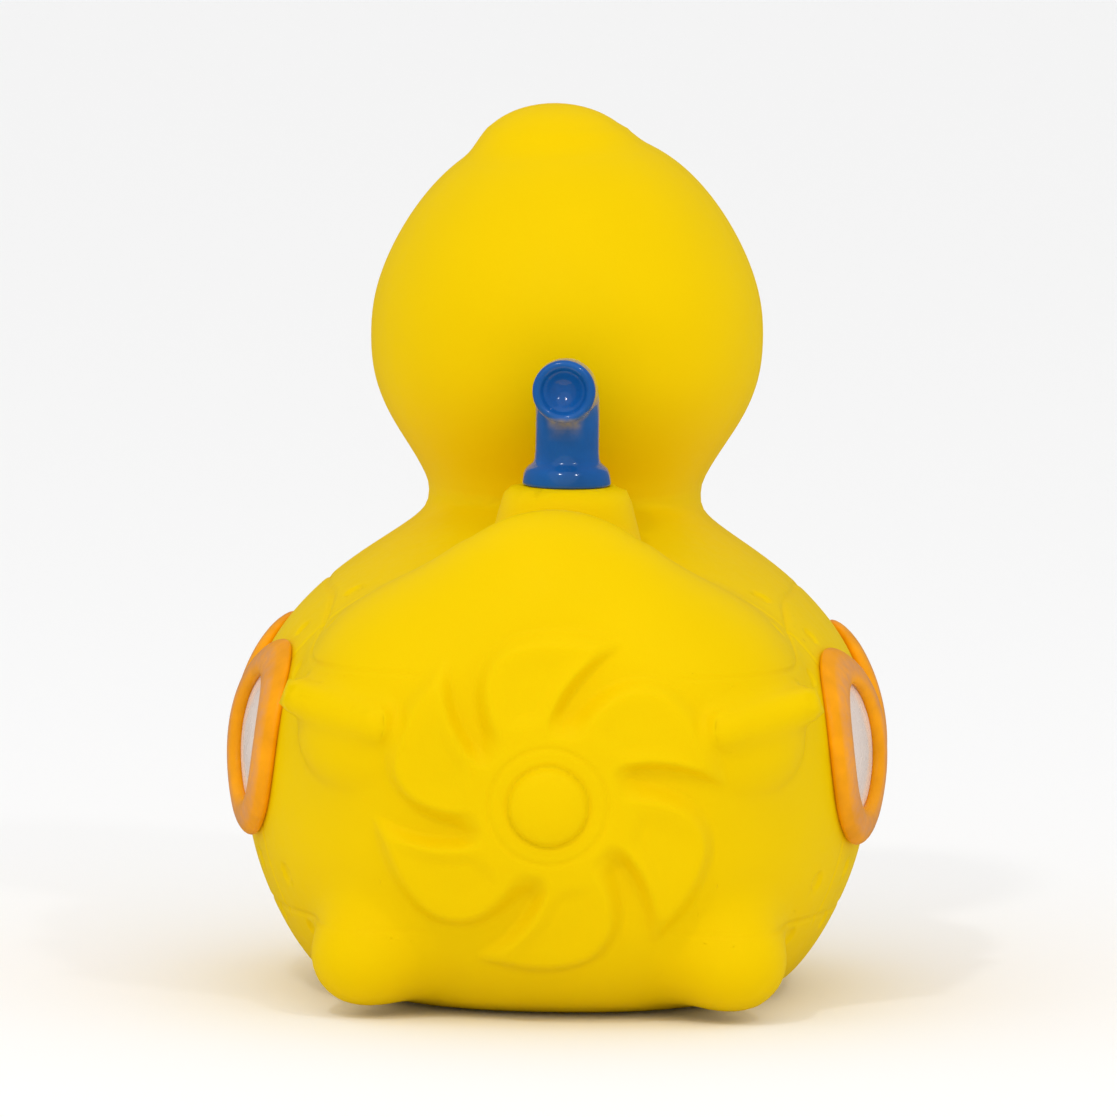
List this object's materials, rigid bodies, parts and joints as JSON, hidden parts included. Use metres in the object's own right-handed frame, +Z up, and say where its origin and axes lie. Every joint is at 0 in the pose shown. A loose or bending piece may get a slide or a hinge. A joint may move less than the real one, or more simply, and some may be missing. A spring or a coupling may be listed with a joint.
{
  "type": "floating bath duck",
  "caption": "Floating soft-vinyl bath duck styled as a submarine, with a moulded stern propeller, stern planes, portholes and a short periscope.",
  "frame": {"origin": "middle of the object's footprint, on the surface that its flat base rests on", "axes": "+Z up, +Y the way the duck looks, -Y out of the stern with the propeller, X across, with the duck the same on both sides of X = 0"},
  "size_m": [0.069, 0.091, 0.0912],
  "materials": {
    "yellow_vinyl": "satin",
    "orange_paint": "gloss",
    "blue_paint": "gloss",
    "pane_paint": "gloss",
    "white_paint": "gloss",
    "black_paint": "gloss",
    "white_plastic": "satin",
    "ballast_steel": "satin"
  },
  "bodies": {
    "body": {"hull_shell": "yellow_vinyl", "head_shell": "yellow_vinyl", "head_tuft": "yellow_vinyl", "tail": "yellow_vinyl", "conning_tower": "yellow_vinyl", "stern_plane_upper_left": "yellow_vinyl", "stern_plane_lower_left": "yellow_vinyl", "stern_plane_upper_right": "yellow_vinyl", "stern_plane_lower_right": "yellow_vinyl", "propeller_blade_1": "yellow_vinyl", "propeller_blade_2": "yellow_vinyl", "propeller_blade_3": "yellow_vinyl", "propeller_blade_4": "yellow_vinyl", "propeller_blade_5": "yellow_vinyl", "propeller_blade_6": "yellow_vinyl", "propeller_plate": "yellow_vinyl", "propeller_hub": "yellow_vinyl", "porthole_rim_rear_left": "orange_paint", "porthole_rim_front_left": "orange_paint", "porthole_rim_rear_right": "orange_paint", "porthole_rim_front_right": "orange_paint", "porthole_pane_rear_left": "pane_paint", "porthole_pane_front_left": "pane_paint", "porthole_pane_rear_right": "pane_paint", "porthole_pane_front_right": "pane_paint", "periscope": "blue_paint", "periscope_lens": "blue_paint", "beak_upper": "orange_paint", "beak_lower": "orange_paint", "eye_left": "white_paint", "eye_right": "white_paint", "pupil_left": "black_paint", "pupil_right": "black_paint", "base_disc": "yellow_vinyl", "ballast_ring": "ballast_steel"},
    "whistle": {"whistle_case": "white_plastic", "whistle_reed": "white_plastic"}
  },
  "joints": [
    {"name": "whistle_pull", "type": "slide", "parent": "body", "child": "whistle", "axis": [0, 0, -1], "range_m": [0, 0.01]}
  ]
}
